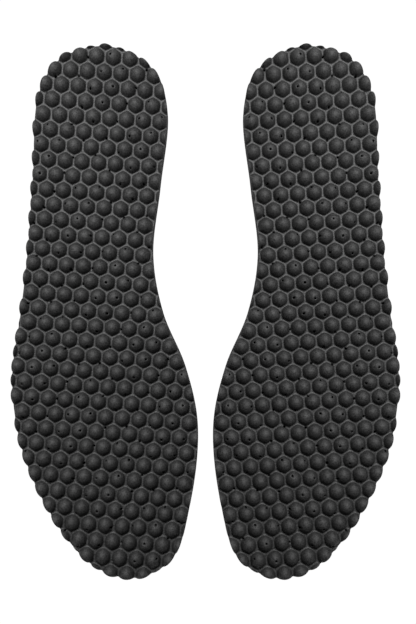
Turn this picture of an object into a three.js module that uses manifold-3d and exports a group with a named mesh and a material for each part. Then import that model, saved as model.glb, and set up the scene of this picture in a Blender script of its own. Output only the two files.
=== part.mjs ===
// A pair of cushioned insoles, lying on their linings with the domed faces up.
//
// Millimetres. X = 0 is the plane between the two insoles, heels are towards +Y, toes towards -Y,
// and Z = 0 is the surface that the linings rest on. With the domed face as the side that the foot
// stands on, the insole at -X is the right foot's and the one at +X is the left foot's.
//
// An insole is a foam cushion bonded to a textile lining. Both bend across the ball of the foot, so
// both are parted there along the flex line. The foam is parted by a V, which closes as the toes lift.

import * as THREE from 'three';
import { mergeVertices } from 'three/addons/utils/BufferGeometryUtils.js';
import Module from 'manifold-3d';

const LINING_THICKNESS = 1;
const GLUE_LINE = 0.3;
const FOAM_THICKNESS = 6.7;

// The outline of one insole, anticlockwise from the back of the heel: [distance from X = 0, Y].
const OUTLINE = [
  [54, 134], [74, 126.8], [84, 110], [87, 68], [89.6, 31], [93.1, 0], [97.4, -34],
  [93, -67], [79, -100], [57.5, -127], [36.5, -134], [17, -124.5], [7.6, -96], [4, -57],
  [10.2, -27.5], [21.6, 0], [26.7, 29], [23, 64], [19.3, 101], [24, 119], [38, 130.6],
];
const STEPS_PER_SPAN = 8;

// The flex line crosses the ball of the foot from the big toe's joint to the little toe's.
const FLEX_INNER_END = [4, -59];
const FLEX_OUTER_END = [97, -35];
const FLEX_LIMIT_DEG = 50;
const FLEX_GAP = 0.3;

// Larger than an insole in every direction.
const REACH = 400;

const FOAM_MATERIAL = new THREE.MeshStandardMaterial({ color: 0x2b2b2c, roughness: 0.85, metalness: 0 });
const LINING_MATERIAL = new THREE.MeshStandardMaterial({ color: 0x232426, roughness: 0.95, metalness: 0 });

const wasm = await Module();
wasm.setup();

function toSolid(geometry) {
  const bare = geometry.clone();
  bare.deleteAttribute('normal');
  bare.deleteAttribute('uv');
  const merged = mergeVertices(bare);
  return new wasm.Manifold(new wasm.Mesh({
    numProp: 3,
    vertProperties: new Float32Array(merged.attributes.position.array),
    triVerts: new Uint32Array(merged.index.array),
  }));
}

function toGeometry(solid) {
  const mesh = solid.getMesh();
  const geometry = new THREE.BufferGeometry();
  geometry.setAttribute('position', new THREE.BufferAttribute(mesh.vertProperties, 3));
  geometry.setIndex(new THREE.BufferAttribute(mesh.triVerts, 1));
  geometry.computeVertexNormals();
  return geometry;
}

// side is -1 for the insole at -X and 1 for the one at +X.
function insoleShape(side) {
  const corners = OUTLINE.map(([x, y]) => new THREE.Vector3(side * x, y, 0));
  const curve = new THREE.CatmullRomCurve3(corners, true, 'centripetal');
  const points = curve.getPoints(OUTLINE.length * STEPS_PER_SPAN);
  points.pop();
  return new THREE.Shape(points.map((point) => new THREE.Vector2(point.x, point.y)));
}

function sheet(side, bottom, thickness) {
  const geometry = new THREE.ExtrudeGeometry(insoleShape(side), { depth: thickness, bevelEnabled: false });
  geometry.translate(0, 0, bottom);
  return toSolid(geometry);
}

// Everything on one side of the flex line. Its face is upright through the lining. Above the hinge it
// leans away from the line by half the flex, so that the two faces meet when the toes are fully up.
function spaceBeside(side, towardToe) {
  const inner = new THREE.Vector3(side * FLEX_INNER_END[0], FLEX_INNER_END[1], 0);
  const outer = new THREE.Vector3(side * FLEX_OUTER_END[0], FLEX_OUTER_END[1], 0);
  const up = new THREE.Vector3(0, 0, 1);
  const along = new THREE.Vector3().subVectors(outer, inner).normalize();
  const away = new THREE.Vector3().crossVectors(up, along);
  if ((away.y < 0) !== towardToe) {
    away.negate();
  }
  const lean = Math.tan(THREE.MathUtils.degToRad(FLEX_LIMIT_DEG / 2)) * REACH;
  const section = new THREE.Shape([
    new THREE.Vector2(FLEX_GAP / 2, -REACH),
    new THREE.Vector2(REACH, -REACH),
    new THREE.Vector2(REACH, REACH),
    new THREE.Vector2(FLEX_GAP / 2 + lean, REACH),
    new THREE.Vector2(FLEX_GAP / 2, 0),
  ]);
  const geometry = new THREE.ExtrudeGeometry(section, { depth: 2 * REACH, bevelEnabled: false });
  geometry.translate(0, 0, -REACH);
  const depthwise = new THREE.Vector3().crossVectors(away, up);
  const placed = new THREE.Matrix4().makeBasis(away, up, depthwise);
  placed.setPosition(inner.x, inner.y, LINING_THICKNESS);
  geometry.applyMatrix4(placed);
  return toSolid(geometry);
}

function insole(foot, side) {
  const layers = {
    cushion: { solid: sheet(side, LINING_THICKNESS + GLUE_LINE, FOAM_THICKNESS), material: FOAM_MATERIAL },
    lining: { solid: sheet(side, 0, LINING_THICKNESS), material: LINING_MATERIAL },
  };
  const spaces = { rear: spaceBeside(side, false), front: spaceBeside(side, true) };
  const group = new THREE.Group();
  for (const [layer, { solid, material }] of Object.entries(layers)) {
    for (const [end, space] of Object.entries(spaces)) {
      const mesh = new THREE.Mesh(toGeometry(solid.intersect(space)), material);
      mesh.name = `${foot}_${layer}_${end}`;
      group.add(mesh);
    }
  }
  return group;
}

const pair = new THREE.Group();
pair.add(insole('right', -1), insole('left', 1));

export default pair;
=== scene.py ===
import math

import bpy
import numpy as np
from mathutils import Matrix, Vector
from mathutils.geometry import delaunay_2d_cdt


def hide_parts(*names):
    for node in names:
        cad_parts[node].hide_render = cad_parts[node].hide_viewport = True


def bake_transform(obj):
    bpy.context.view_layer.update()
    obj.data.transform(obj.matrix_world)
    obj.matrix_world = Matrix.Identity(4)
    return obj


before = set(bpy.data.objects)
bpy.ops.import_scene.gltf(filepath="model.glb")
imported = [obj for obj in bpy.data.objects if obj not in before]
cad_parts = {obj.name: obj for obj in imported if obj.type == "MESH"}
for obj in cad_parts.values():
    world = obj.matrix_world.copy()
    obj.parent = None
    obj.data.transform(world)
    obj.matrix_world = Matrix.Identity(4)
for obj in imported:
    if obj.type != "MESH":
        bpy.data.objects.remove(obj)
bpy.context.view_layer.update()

# A pair of cushioned insoles: black foam moulded into domes and punched with pin holes, bonded to a
# knitted lining. They lie side by side on Z = 0, heels towards +Y, domes up. The right foot's insole is at
# -X. It is worked out in millimetres, and the left foot's is its mirror image. Meshes are turned into
# metres as they are made.

# ---------------------------------------------------------------- driving values, lengths in millimetres

MM = 0.001

# One insole's outline, from the back of the heel past the outer side: distance from X = 0, then Y.
OUTLINE = [
    (54, 134), (74, 126.8), (84, 110), (87, 68), (89.6, 31), (93.1, 0), (97.4, -34),
    (93, -67), (79, -100), (57.5, -127), (36.5, -134), (17, -124.5), (7.6, -96), (4, -57),
    (10.2, -27.5), (21.6, 0), (26.7, 29), (23, 64), (19.3, 101), (24, 119), (38, 130.6),
]
HALF_LENGTH = 134
CURVE_STEPS = 60
OUTLINE_STEP = 0.55

# Heights above the surface that the insole lies on.
LINING_TOP = 1.0
FOAM_BACK = 1.05
VALLEY_LEVEL = 4.5
DOME_HEIGHT = 3.5

# Domes stand on a hexagonal grid, with flat valleys between their feet. Columns and rows are numbered from
# the origin, with some to spare, and domes further from the insole than the reach are left out.
DOME_ORIGIN = (-98.4, 153.0)
DOME_ALONG_ROW = (8.405, -0.579)
DOME_NEXT_ROW = (-4.749, -7.162)
DOME_NUMBERS = (range(-5, 40), range(-5, 45))
DOME_REACH = 10
CELL_HALF_WIDTH = 4.2
VALLEY_HALF_WIDTH = 0.43

# A dome is a cap on a low, steep skirt. A higher crispness keeps the skirt upright, a higher roundness
# keeps the cap round further out before it turns hexagonal, and a higher fullness makes its top flatter.
SKIRT_HEIGHT = 0.5
SKIRT_CRISPNESS = 12
DOME_ROUNDNESS = 3
CAP_FULLNESS = 2.2

# A point's ring number is 0 at the centre of its dome and 1 halfway to the next dome. A higher squareness
# gives the rings sharper corners. The painted sheen that pales the valleys fades in over a range of ring
# numbers at the foot of the dome, and the painted shade that darkens the flanks over another on its flank.
RING_SQUARENESS = 8
VALLEY_FADE_IN, VALLEY_FADE_OUT = 0.08, 0.03
FLANK_FADE = (0.45, 0.9)

# The points on each dome: the ring number and count of each ring, then the steps along each cell side.
DOME_RINGS = [(0.2, 8), (0.4, 16), (0.56, 24), (0.69, 30), (0.79, 36), (0.85, 36), (0.88, 36), (0.9, 36)]
STEPS_PER_SIDE = 6

# The mould stretches its pattern a little towards the heel and the toes.
STRETCH_X = -1.06
STRETCH_Y = -1.40
STRETCH_Y_AT_TIPS = -2.95

# Pin holes are punched in staggered rows, none of them quite in place. Each pulls the foam round it down
# into a dimple, with rings of points this far from the hole's edge and a gap before the dome's own points.
PIN_ORIGIN = (-105.6, 155.8)
PIN_ALONG_ROW = (11.37, 0.79)
PIN_NEXT_ROW = (6.25, -7.62)
PIN_NUMBERS = (range(-30, 30), range(-5, 45))
PIN_SEED = 7
PIN_WANDER = 0.5
PIN_RADIUS_RANGE = (0.44, 0.6)
PIN_DIMPLE_DEPTH = 0.3
PIN_DIMPLE_RINGS = (0.12, 0.26, 0.42)
PIN_DIMPLE_GAP = 0.12
PIN_TO_EDGE = 1.5
PIN_SIDES = 12

# The die cut: a slightly hollow wall with a softened top edge.
EDGE_SOFT_WIDTH = 0.25
EDGE_SOFT_DROP = 0.16
WALL_HOLLOW = 0.12
WALL_ROWS = 5

# The lining's wall bulges a little instead.
LINING_WALL_HOLLOW = -0.1
LINING_WALL_ROWS = 4

# Points across the flat faces, clear of the pin holes' centres.
FLAT_STEP = 3.5
FLAT_X = (-100, 5)
FLAT_PIN_CLEARANCE = 1

# Foam: features per metre, then the skin's grey and roughness on domes and in valleys, where the paler
# valley grey is painted sheen, the painted shade that a flank's grey is multiplied by, the roughness of a
# cut, and the depth of the surface's relief.
CELLS_PER_METRE = 1200
PITS_PER_METRE = 1500
MOTTLES_PER_METRE = 90
BLOTCHES_PER_METRE = 520
# The pale flecks on the cuts are painted glints.
PAINTED_GLINTS_PER_METRE = 2600
DOME_TONE, VALLEY_PAINTED_SHEEN_TONE = 0.03, 0.037
DOME_ROUGHNESS, VALLEY_ROUGHNESS = 0.66, 0.56
FLANK_PAINTED_SHADE = 0.45
CUT_ROUGHNESS = 0.9
FOAM_RELIEF = 0.3

# Lining: features per metre, then the knit's roughness, sheen and depth.
RIBS_PER_METRE = 260
FIBRES_PER_METRE = 3000
KNIT_ROUGHNESS = 0.9
KNIT_SHEEN = 0.3
KNIT_RELIEF = 0.3

# Camera, above the pair and looking straight down. The viewed length is at the level of the valleys.
CAMERA_X = 1.26
CAMERA_Y = -27.7
CAMERA_HEIGHT = 304.5
VIEWED_LENGTH = 314.3
SENSOR = 36
NEAREST_SEEN = 10
FARTHEST_SEEN = 20000

# Floor and room. Each fill is the strength of the light that falls on the pieces from there.
FLOOR_HALF_SIZE = 6000
FLOOR_LEVEL = -0.2
FLOOR_TONE = 0.85
FLOOR_ROUGHNESS = 0.9
FLOOR_FILL = 0.75
ROOM_FILL = 0.035

# The left insole's softbox, with its power in watts. The right one's is its mirror image.
SOFTBOX_PLACE = (125, 250, 440)
SOFTBOX_TARGET_X = 55
SOFTBOX_SIZE = 200
SOFTBOX_POWER = 3.4

# ---------------------------------------------------------------- outline


def closed_curve(corners, steps):
    """Points on the closed centripetal Catmull-Rom curve through the corners."""
    corners = np.array(corners, float)
    count = len(corners)
    t = (np.arange(steps) / steps)[:, None]
    spans = []
    for i in range(count):
        before, start, end, after = (corners[(i + k) % count] for k in (-1, 0, 1, 2))
        d0, d1, d2 = (math.sqrt(math.dist(a, b)) for a, b in ((before, start), (start, end), (end, after)))
        leaving = d1 * ((start - before) / d0 - (end - before) / (d0 + d1) + (end - start) / d1)
        arriving = d1 * ((end - start) / d1 - (after - start) / (d1 + d2) + (after - end) / d2)
        spans.append(
            (2 * t**3 - 3 * t**2 + 1) * start
            + (t**3 - 2 * t**2 + t) * leaving
            + (3 * t**2 - 2 * t**3) * end
            + (t**3 - t**2) * arriving
        )
    return np.concatenate(spans)


def evenly_spaced(points, step):
    """The same closed line, with its points about one step apart."""
    closed = np.vstack([points, points[:1]])
    along = np.r_[0, np.cumsum(np.linalg.norm(np.diff(closed, axis=0), axis=1))]
    places = np.linspace(0, along[-1], int(along[-1] / step), endpoint=False)
    return np.stack([np.interp(places, along, closed[:, k]) for k in (0, 1)], axis=1)


def to_the_left(loop):
    """Unit vectors to the left of a closed line, seen from above."""
    along = np.roll(loop, -1, axis=0) - np.roll(loop, 1, axis=0)
    along /= np.linalg.norm(along, axis=1)[:, None]
    return np.stack([-along[:, 1], along[:, 0]], axis=1)


def depth_inside(points, outline):
    """How far each point lies inside the outline, negative outside it."""
    points_at_a_time = 4000
    depth = np.empty(len(points))
    a, b = outline, np.roll(outline, -1, axis=0)
    rise = np.where(b[:, 1] == a[:, 1], 1, b[:, 1] - a[:, 1])
    for part in np.array_split(np.arange(len(points)), len(points) // points_at_a_time + 1):
        x, y = points[part, :1], points[part, 1:]
        nearest = np.sqrt(((x - a[:, 0]) ** 2 + (y - a[:, 1]) ** 2).min(axis=1))
        crossed = (a[:, 1] > y) != (b[:, 1] > y)
        crossing_x = a[:, 0] + (y - a[:, 1]) / rise * (b[:, 0] - a[:, 0])
        inside = (crossed & (x < crossing_x)).sum(axis=1) % 2 == 1
        depth[part] = np.where(inside, nearest, -nearest)
    return depth


# ---------------------------------------------------------------- dome and pin patterns


def stretched(points):
    """Where the mould's stretch puts points of the even pattern."""
    t = -points[:, 1] / HALF_LENGTH
    return points + np.stack([STRETCH_X * t**2, STRETCH_Y * t**2 + STRETCH_Y_AT_TIPS * t**3], axis=1)


def unstretched(points):
    """The points of the even pattern that the stretch puts at these points."""
    rounds = 8
    even = points.copy()
    for _ in range(rounds):
        even += points - stretched(even)
    return even


def numbered(numbers):
    """Every pair of a column number and a row number."""
    columns, rows = numbers
    return np.array([(u, v) for u in columns for v in rows])


# In the pattern's own plane, dome centres are 1 apart on a regular hexagonal grid.
GRID = np.array([(1, 0), (-0.5, math.sqrt(0.75))])
PATTERN_TO_EVEN = np.linalg.inv(GRID) @ np.array([DOME_ALONG_ROW, DOME_NEXT_ROW])
SIDE_DIRECTIONS = np.array([(math.cos(a), math.sin(a)) for a in (0, math.pi / 3, 2 * math.pi / 3)])


def from_pattern(q):
    """Where points of the pattern's own plane lie on the insole."""
    return stretched(DOME_ORIGIN + q @ PATTERN_TO_EVEN)


def to_pattern(points):
    """Where points of the insole lie in the pattern's own plane."""
    return (unstretched(points) - DOME_ORIGIN) @ np.linalg.inv(PATTERN_TO_EVEN)


def from_nearest_centre(q):
    """Each point's place relative to the dome centre nearest to it."""
    corner = np.floor(q @ np.linalg.inv(GRID))
    best = q - corner @ GRID
    for step in ((1, 0), (0, 1), (1, 1)):
        away = q - (corner + step) @ GRID
        nearer = (away**2).sum(axis=1) < (best**2).sum(axis=1)
        best[nearer] = away[nearer]
    return best


def smoothstep(low, high, x):
    t = np.clip((x - low) / (high - low), 0, 1)
    return t * t * (3 - 2 * t)


def ring_number(away):
    """0 at a dome's centre and 1 halfway to the next: rings are hexagons with well rounded corners."""
    across = 2 * np.abs(away @ SIDE_DIRECTIONS.T)
    return (across**RING_SQUARENESS).sum(axis=1) ** (1 / RING_SQUARENESS)


def domes(points):
    """Height above the valleys, and how much of a valley and of a flank each point is, from 0 to 1."""
    away = from_nearest_centre(to_pattern(points))
    ring = ring_number(away)
    foot = 1 - VALLEY_HALF_WIDTH / CELL_HALF_WIDTH
    out = np.clip(ring / foot, 0, 1)
    round_out = 2 * np.linalg.norm(away, axis=1) / foot
    cap_out = out + (round_out - out) * (1 - out**DOME_ROUNDNESS)
    cap = (DOME_HEIGHT - SKIRT_HEIGHT) * (1 - cap_out**CAP_FULLNESS)
    skirt = SKIRT_HEIGHT * np.sqrt(1 - out**SKIRT_CRISPNESS)
    # These masks steer the foam's painted sheen in the valleys and its painted shade on the flanks.
    valley = smoothstep(foot - VALLEY_FADE_IN, foot + VALLEY_FADE_OUT, ring)
    flank = smoothstep(*FLANK_FADE, ring) * (1 - valley)
    return cap + skirt, valley, flank


def points_of_one_dome():
    """Points in the pattern's plane: a dome's centre and rings, and half of its cell's sides."""
    points = [np.zeros(2)]
    beyond_corner, samples = 0.6, 241
    lengths = np.linspace(0, beyond_corner, samples)
    for out, count in DOME_RINGS:
        for k in range(count):
            angle = 2 * math.pi * (k + 0.5) / count
            direction = np.array([math.cos(angle), math.sin(angle)])
            points.append(direction * np.interp(out, ring_number(lengths[:, None] * direction), lengths))
    corner_angles = math.pi / 6 + math.pi / 3 * np.arange(4)
    corners = np.stack([np.cos(corner_angles), np.sin(corner_angles)], axis=1) / math.sqrt(3)
    for start, end in zip(corners, corners[1:]):
        for k in range(STEPS_PER_SIDE + 1):
            points.append(start + (end - start) * k / STEPS_PER_SIDE)
    return np.array(points)


def points_on_domes():
    """The points of every dome that may touch the insole. Points that neighbours share come once."""
    centres = numbered(DOME_NUMBERS) @ GRID
    where = from_pattern(centres)
    low = np.array([-max(x for x, y in OUTLINE) - DOME_REACH, -HALF_LENGTH - DOME_REACH])
    high = np.array([DOME_REACH, HALF_LENGTH + DOME_REACH])
    centres = centres[((where > low) & (where < high)).all(axis=1)]
    q = (centres[:, None, :] + points_of_one_dome()).reshape(-1, 2)
    shared_decimals = 5
    return from_pattern(np.unique(np.round(q, shared_decimals), axis=0))


def pin_holes(outline):
    """Centres and radii of the pin holes."""
    rng = np.random.default_rng(PIN_SEED)
    centres = stretched(PIN_ORIGIN + numbered(PIN_NUMBERS) @ np.array([PIN_ALONG_ROW, PIN_NEXT_ROW]))
    centres += rng.uniform(-PIN_WANDER, PIN_WANDER, centres.shape)
    centres = centres[depth_inside(centres, outline) > PIN_TO_EDGE]
    return centres, rng.uniform(*PIN_RADIUS_RANGE, len(centres))


def circle(centre, radius):
    """Points around a hole, clockwise seen from above."""
    turn = -2 * math.pi * np.arange(PIN_SIDES) / PIN_SIDES
    return centre + radius * np.stack([np.cos(turn), np.sin(turn)], axis=1)


# ---------------------------------------------------------------- slabs


def filled(loops, inner_points):
    """Points and triangles that fill the first loop, apart from the holes, which are the other loops.

    The loops' points come first. Triangles are anticlockwise seen from above.
    """
    points = np.concatenate(loops + [inner_points])
    edges, owner, first = [], np.full(len(points), -1), 0
    for number, loop in enumerate(loops):
        count = len(loop)
        edges += [(first + k, first + (k + 1) % count) for k in range(count)]
        owner[first:first + count] = number
        first += count
    tolerance = 1e-6
    found = delaunay_2d_cdt([Vector(p) for p in points], edges, [], 0, tolerance)
    if len(found[0]) != len(points):
        raise ValueError("points of a slab coincide or its loops cross")
    faces = np.array([tuple(f) for f in found[2]])
    owners = owner[faces]
    on_one_loop = (owners == owners[:, :1]).all(axis=1)
    in_hole = on_one_loop & (owners[:, 0] > 0)
    outside = np.zeros(len(faces), bool)
    doubtful = np.nonzero(on_one_loop & (owners[:, 0] == 0))[0]
    outside[doubtful] = depth_inside(points[faces[doubtful]].mean(axis=1), loops[0]) < 0
    faces = faces[~(in_hole | outside)]
    a, b, c = (points[faces[:, k]] for k in (0, 1, 2))
    twice_area = (b[:, 0] - a[:, 0]) * (c[:, 1] - a[:, 1]) - (b[:, 1] - a[:, 1]) * (c[:, 0] - a[:, 0])
    faces[twice_area < 0] = faces[twice_area < 0][:, ::-1]
    return points, faces


def points_on_flat(outline):
    """An even spread of points, clear of the outline."""
    row_step = FLAT_STEP * math.sqrt(0.75)
    x, y = np.meshgrid(np.arange(*FLAT_X, FLAT_STEP), np.arange(-HALF_LENGTH, HALF_LENGTH, row_step))
    x[::2] += FLAT_STEP / 2
    points = np.stack([x.ravel(), y.ravel()], axis=1)
    return points[depth_inside(points, outline) > FLAT_STEP / 3]


def slab(loops, top, top_faces, top_heights, back_level, back_inner, rows, hollow):
    """The points and triangles of a closed slab: the given top, walls down every loop, and a flat back.

    The top's points come first. Hollow is how far in the walls go halfway down.
    """
    ring_count = sum(len(loop) for loop in loops)
    back, back_faces = filled(loops, back_inner)
    inward = np.concatenate([to_the_left(loop) for loop in loops])
    rings = np.concatenate(loops)
    levels = [np.column_stack([top, top_heights])]
    starts = [0]
    for row in range(1, rows):
        share = row / rows
        height = top_heights[:ring_count] * (1 - share) + back_level * share
        level = rings + inward * hollow * math.sin(math.pi * share)
        starts.append(sum(len(points) for points in levels))
        levels.append(np.column_stack([level, height]))
    starts.append(sum(len(points) for points in levels))
    levels.append(np.column_stack([back, np.full(len(back), back_level)]))
    following, first = [], 0
    for loop in loops:
        following.append(first + (np.arange(len(loop)) + 1) % len(loop))
        first += len(loop)
    here, after = np.arange(ring_count), np.concatenate(following)
    faces = [top_faces, back_faces[:, ::-1] + starts[-1]]
    for upper, lower in zip(starts, starts[1:]):
        faces.append(np.stack([after + upper, here + upper, here + lower], axis=1))
        faces.append(np.stack([after + upper, here + lower, after + lower], axis=1))
    return np.concatenate(levels), np.concatenate(faces)


def make_piece(name, points, faces, attributes, side):
    """A mesh object in metres. Side is -1 for the right foot's, at -X, and 1 for its mirror image."""
    points = points * MM
    if side > 0:
        points = points * (-1, 1, 1)
        faces = faces[:, ::-1]
    mesh = bpy.data.meshes.new(name)
    mesh.from_pydata(points.tolist(), [], faces.tolist())
    mesh.polygons.foreach_set("use_smooth", np.ones(len(faces), bool))
    for key, values in attributes.items():
        layer = mesh.attributes.new(key, "FLOAT", "POINT")
        layer.data.foreach_set("value", values.astype(np.float32))
    piece = bpy.data.objects.new(name, mesh)
    bpy.context.scene.collection.objects.link(piece)
    return piece


# ---------------------------------------------------------------- foam and lining


def cushion_shape(outline):
    """The domed foam: points, triangles, and how much each point is in a valley, on a flank or on a cut."""
    centres, radii = pin_holes(outline)
    loops = [outline] + [circle(c, r) for c, r in zip(centres, radii)]
    dimples = [circle(c, r + out) for c, r in zip(centres, radii) for out in PIN_DIMPLE_RINGS]
    soft_edge = outline + to_the_left(outline) * EDGE_SOFT_WIDTH
    points = points_on_domes()
    points = points[depth_inside(points, outline) > 2 * EDGE_SOFT_WIDTH]
    to_pins = np.linalg.norm(points[:, None, :] - centres, axis=2) - radii
    points = points[to_pins.min(axis=1) > PIN_DIMPLE_RINGS[-1] + PIN_DIMPLE_GAP]
    top, top_faces = filled(loops, np.concatenate([soft_edge, *dimples, points]))
    height, valley, flank = domes(top)
    height += VALLEY_LEVEL
    to_pin = (np.linalg.norm(top[:, None, :] - centres, axis=2) - radii).min(axis=1)
    height -= PIN_DIMPLE_DEPTH * (1 - smoothstep(0, PIN_DIMPLE_RINGS[-1], to_pin))
    height[:len(outline)] -= EDGE_SOFT_DROP
    inner = points_on_flat(outline)
    to_pin = np.linalg.norm(inner[:, None, :] - centres, axis=2).min(axis=1)
    inner = inner[to_pin > FLAT_PIN_CLEARANCE]
    points, faces = slab(loops, top, top_faces, height, FOAM_BACK, inner, WALL_ROWS, WALL_HOLLOW)
    beyond_top = np.zeros(len(points) - len(top))
    attributes = {
        "valley": np.concatenate([valley, beyond_top]),
        "flank": np.concatenate([flank, beyond_top]),
        "cut": np.concatenate([np.zeros(len(top)), beyond_top + 1]),
    }
    return points, faces, attributes


def lining_shape(outline):
    """The flat knitted lining under the foam."""
    inner = points_on_flat(outline)
    top, top_faces = filled([outline], inner)
    heights = np.full(len(top), LINING_TOP)
    points, faces = slab(
        [outline], top, top_faces, heights, 0, inner, LINING_WALL_ROWS, LINING_WALL_HOLLOW
    )
    return points, faces, {}


# ---------------------------------------------------------------- materials


class Shading:
    """Builds the nodes of one material or of the world. Values are numbers or the sockets of nodes."""

    def __init__(self, owner):
        owner.use_nodes = True
        self.nodes, self.links = owner.node_tree.nodes, owner.node_tree.links

    def feed(self, value, socket):
        if isinstance(value, (int, float)):
            socket.default_value = value
        else:
            self.links.new(value, socket)

    def attribute(self, name):
        node = self.nodes.new("ShaderNodeAttribute")
        node.attribute_name = name
        return node.outputs["Fac"]

    def texture(self, kind, **inputs):
        """A texture in object space. Its scale is in features per metre."""
        place = self.nodes.new("ShaderNodeTexCoord")
        node = self.nodes.new(kind)
        for name, value in inputs.items():
            self.feed(value, node.inputs[name])
        self.links.new(place.outputs["Object"], node.inputs["Vector"])
        return node

    def noise(self, scale, detail, roughness=0.5):
        node = self.texture("ShaderNodeTexNoise", Scale=scale, Detail=detail, Roughness=roughness)
        return node.outputs["Fac"]

    def scaled(self, value, low, high, from_low=0, from_high=1):
        """From low to high, as the value goes from from_low to from_high."""
        node = self.nodes.new("ShaderNodeMapRange")
        self.feed(value, node.inputs["Value"])
        self.feed(from_low, node.inputs["From Min"])
        self.feed(from_high, node.inputs["From Max"])
        self.feed(low, node.inputs["To Min"])
        self.feed(high, node.inputs["To Max"])
        return node.outputs["Result"]

    def combined(self, operation, a, b):
        node = self.nodes.new("ShaderNodeMath")
        node.operation = operation
        self.feed(a, node.inputs[0])
        self.feed(b, node.inputs[1])
        return node.outputs[0]

    def product(self, a, b):
        return self.combined("MULTIPLY", a, b)

    def mixed(self, share, a, b):
        """A where the share is 0, and b where it is 1."""
        node = self.nodes.new("ShaderNodeMix")
        self.feed(share, node.inputs["Factor"])
        self.feed(a, node.inputs["A"])
        self.feed(b, node.inputs["B"])
        return node.outputs["Result"]

    def grey(self, value):
        node = self.nodes.new("ShaderNodeCombineColor")
        for channel in ("Red", "Green", "Blue"):
            self.feed(value, node.inputs[channel])
        return node.outputs["Color"]

    def bumped(self, height, strength, distance):
        """A normal for a relief of this height. The distance, in metres, is how deep it is."""
        node = self.nodes.new("ShaderNodeBump")
        self.feed(strength, node.inputs["Strength"])
        self.feed(distance, node.inputs["Distance"])
        self.feed(height, node.inputs["Height"])
        return node.outputs["Normal"]

    def for_camera(self, seen, unseen):
        """One value for what the camera sees, and another for the light that falls on the pieces."""
        ray = self.nodes.new("ShaderNodeLightPath")
        return self.scaled(ray.outputs["Is Camera Ray"], unseen, seen)


def new_material(name):
    material = bpy.data.materials.new(name)
    shading = Shading(material)
    return material, shading, shading.nodes["Principled BSDF"].inputs


def foam_material():
    """Black moulded foam: a fine-celled skin, smoother in the valleys, with painted sheen that pales
    the valleys and painted shade that darkens the flanks.

    The die-cut walls and holes show the open foam, which is darker and blotchy, with pale flecks that are
    painted glints.
    """
    material, shading, surface = new_material("foam")
    valley, flank, cut = (shading.attribute(name) for name in ("valley", "flank", "cut"))
    cells = shading.noise(CELLS_PER_METRE, detail=3, roughness=0.75)
    pits = shading.noise(PITS_PER_METRE, detail=1)
    mottle = shading.noise(MOTTLES_PER_METRE, detail=2)
    blotches = shading.noise(BLOTCHES_PER_METRE, detail=4, roughness=0.65)
    painted_glints = shading.noise(PAINTED_GLINTS_PER_METRE, detail=1)
    # The skin's grey: the valleys' paler grey is painted sheen, and the flanks' darker grey is painted
    # shade.
    skin_with_painted_sheen_and_shade = shading.product(
        shading.scaled(valley, DOME_TONE, VALLEY_PAINTED_SHEEN_TONE),
        shading.scaled(flank, 1, FLANK_PAINTED_SHADE),
    )
    grain = shading.product(
        shading.scaled(pits, low=0.3, high=1, from_low=0.34, from_high=0.42),
        shading.scaled(cells, low=0.45, high=1.75, from_low=0.35, from_high=0.65),
    )
    # The open foam of the cuts: darker blotches, and pale flecks that are painted glints.
    open_foam_and_painted_glints = shading.combined(
        "ADD",
        shading.scaled(blotches, low=0.008, high=0.034, from_low=0.38, from_high=0.62),
        shading.scaled(painted_glints, low=0, high=0.05, from_low=0.62, from_high=0.75),
    )
    tone = shading.product(
        shading.scaled(mottle, low=0.85, high=1.15, from_low=0.3, from_high=0.7),
        shading.mixed(cut, shading.product(skin_with_painted_sheen_and_shade, grain), open_foam_and_painted_glints),
    )
    skin_roughness = shading.scaled(valley, DOME_ROUGHNESS, VALLEY_ROUGHNESS)
    relief = shading.mixed(cut, cells, blotches)
    shading.feed(shading.grey(tone), surface["Base Color"])
    shading.feed(shading.mixed(cut, skin_roughness, CUT_ROUGHNESS), surface["Roughness"])
    shading.feed(shading.bumped(relief, strength=0.5, distance=FOAM_RELIEF * MM), surface["Normal"])
    return material


def lining_material():
    """Black knit: fine ribs along the insole with a brushed, fibrous surface."""
    material, shading, surface = new_material("lining")
    ribs = shading.texture("ShaderNodeTexWave", Scale=RIBS_PER_METRE, Distortion=1.5, Detail=2)
    ribs.bands_direction = "X"
    fibres = shading.noise(FIBRES_PER_METRE, detail=3)
    relief = shading.combined("ADD", ribs.outputs["Fac"], fibres)
    tone = shading.scaled(relief, low=0.018, high=0.045, from_low=0.3, from_high=1.7)
    shading.feed(shading.grey(tone), surface["Base Color"])
    shading.feed(KNIT_ROUGHNESS, surface["Roughness"])
    shading.feed(KNIT_SHEEN, surface["Sheen Weight"])
    shading.feed(shading.bumped(relief, strength=0.6, distance=KNIT_RELIEF * MM), surface["Normal"])
    return material


# ---------------------------------------------------------------- pieces


def bend_at_flex_line(piece):
    """Bakes the piece's placement into its mesh. The piece is not bent."""
    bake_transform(piece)


def make_cushion(foot, side, shape, material):
    cushion = make_piece(foot + "_cushion", *shape, side)
    cushion.data.materials.append(material)
    bend_at_flex_line(cushion)
    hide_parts(foot + "_cushion_rear", foot + "_cushion_front")
    return cushion


def make_lining(foot, side, shape, material):
    lining = make_piece(foot + "_lining", *shape, side)
    lining.data.materials.append(material)
    bend_at_flex_line(lining)
    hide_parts(foot + "_lining_rear", foot + "_lining_front")
    return lining


# ---------------------------------------------------------------- studio


def make_camera():
    data = bpy.data.cameras.new("camera")
    data.sensor_width = SENSOR
    data.lens = SENSOR * (CAMERA_HEIGHT - VALLEY_LEVEL) / VIEWED_LENGTH
    data.shift_y = -CAMERA_Y / VIEWED_LENGTH
    data.clip_start = NEAREST_SEEN * MM
    data.clip_end = FARTHEST_SEEN * MM
    camera = bpy.data.objects.new("camera", data)
    camera.location = (CAMERA_X * MM, CAMERA_Y * MM, CAMERA_HEIGHT * MM)
    bpy.context.scene.collection.objects.link(camera)
    bpy.context.scene.camera = camera


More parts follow.
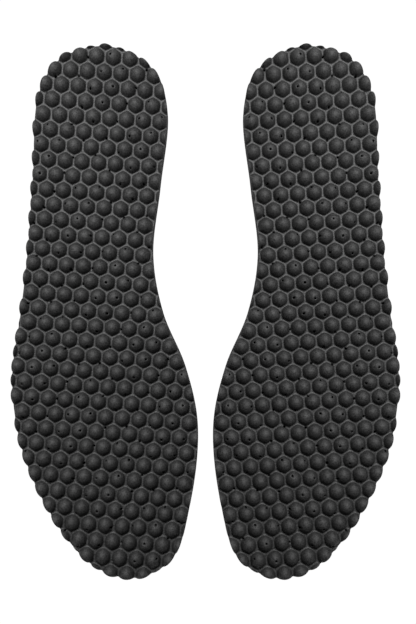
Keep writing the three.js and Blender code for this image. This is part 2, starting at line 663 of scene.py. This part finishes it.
def make_floor():
    """A pale floor that looks evenly lit and sends a little light up to the pieces."""
    mesh = bpy.data.meshes.new("floor")
    reach, level = FLOOR_HALF_SIZE * MM, FLOOR_LEVEL * MM
    corners = [(x * reach, y * reach, level) for x, y in ((-1, -1), (1, -1), (1, 1), (-1, 1))]
    mesh.from_pydata(corners, [], [(0, 1, 2, 3)])
    floor = bpy.data.objects.new("floor", mesh)
    bpy.context.scene.collection.objects.link(floor)
    material, shading, surface = new_material("floor")
    surface["Base Color"].default_value = (FLOOR_TONE, FLOOR_TONE, FLOOR_TONE, 1)
    surface["Roughness"].default_value = FLOOR_ROUGHNESS
    surface["Emission Color"].default_value = (1, 1, 1, 1)
    shading.feed(shading.for_camera(seen=1, unseen=FLOOR_FILL), surface["Emission Strength"])
    mesh.materials.append(material)


def make_softbox(name, side, lit_pieces):
    """A softbox up beyond the heel and the outer side of one insole, which lights only that insole."""
    data = bpy.data.lights.new(name, "AREA")
    data.shape = "SQUARE"
    data.size = SOFTBOX_SIZE * MM
    data.energy = SOFTBOX_POWER
    softbox = bpy.data.objects.new(name, data)
    x, y, z = SOFTBOX_PLACE
    softbox.location = (side * x * MM, y * MM, z * MM)
    aim = Vector((side * SOFTBOX_TARGET_X * MM, 0, 0)) - softbox.location
    softbox.rotation_euler = aim.to_track_quat("-Z", "Y").to_euler()
    bpy.context.scene.collection.objects.link(softbox)
    lit = bpy.data.collections.new(name + "_lights")
    for piece in lit_pieces:
        lit.objects.link(piece)
    softbox.light_linking.receiver_collection = lit


def make_world():
    """A room that looks white and gives a weak, even fill light."""
    world = bpy.data.worlds.new("room")
    bpy.context.scene.world = world
    shading = Shading(world)
    background = shading.nodes["Background"].inputs
    background["Color"].default_value = (1, 1, 1, 1)
    shading.feed(shading.for_camera(seen=1, unseen=ROOM_FILL), background["Strength"])


def main():
    corners = [(-x, y) for x, y in OUTLINE]
    outline = evenly_spaced(closed_curve(corners, CURVE_STEPS), OUTLINE_STEP)
    cushion, lining = cushion_shape(outline), lining_shape(outline)
    foam, knit = foam_material(), lining_material()
    make_camera()
    make_floor()
    make_world()
    for foot, side in (("right", -1), ("left", 1)):
        pieces = [
            make_cushion(foot, side, cushion, foam),
            make_lining(foot, side, lining, knit),
        ]
        make_softbox(foot + "_softbox", side, pieces)
    bpy.context.scene.view_settings.view_transform = "Standard"


main()
